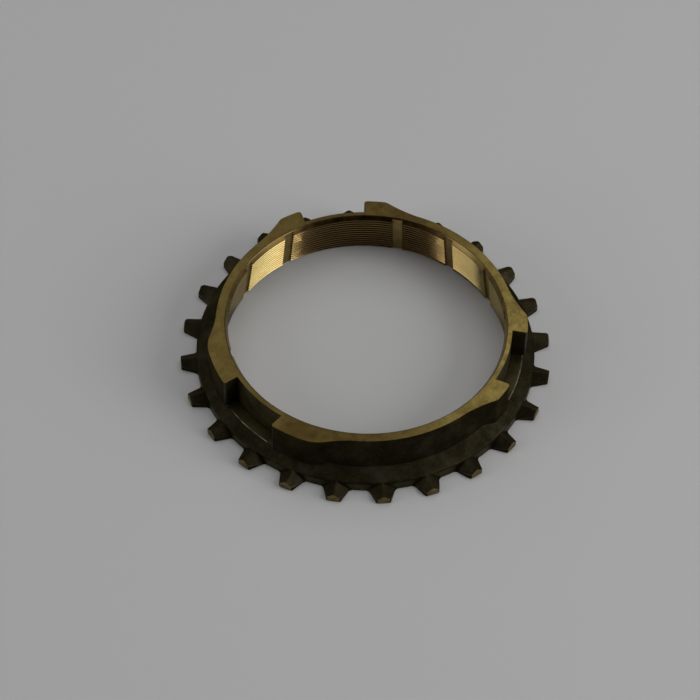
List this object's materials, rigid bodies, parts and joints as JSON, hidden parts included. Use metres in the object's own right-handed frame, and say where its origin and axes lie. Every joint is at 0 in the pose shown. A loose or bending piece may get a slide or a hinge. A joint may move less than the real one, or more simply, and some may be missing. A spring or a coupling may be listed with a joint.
{
  "type": "synchronizer ring",
  "caption": "Brass gearbox synchronizer ring with pointed dog teeth round its foot, a threaded and grooved friction cone inside, and key notches between raised lobes on the wall.",
  "frame": {"origin": "on the ring's axis, in the plane of the gear-side face that the ring lies on", "axes": "+Z along the ring's axis, from the gear-side face with the dog teeth to the key-side face; +X through the middle of the key notch between the two long lobes"},
  "size_m": [0.0776, 0.0776, 0.0109],
  "materials": {
    "brass": "turned on the working faces, dark forged skin elsewhere"
  },
  "bodies": {
    "root": {"synchronizer_ring": "brass"}
  },
  "joints": []
}
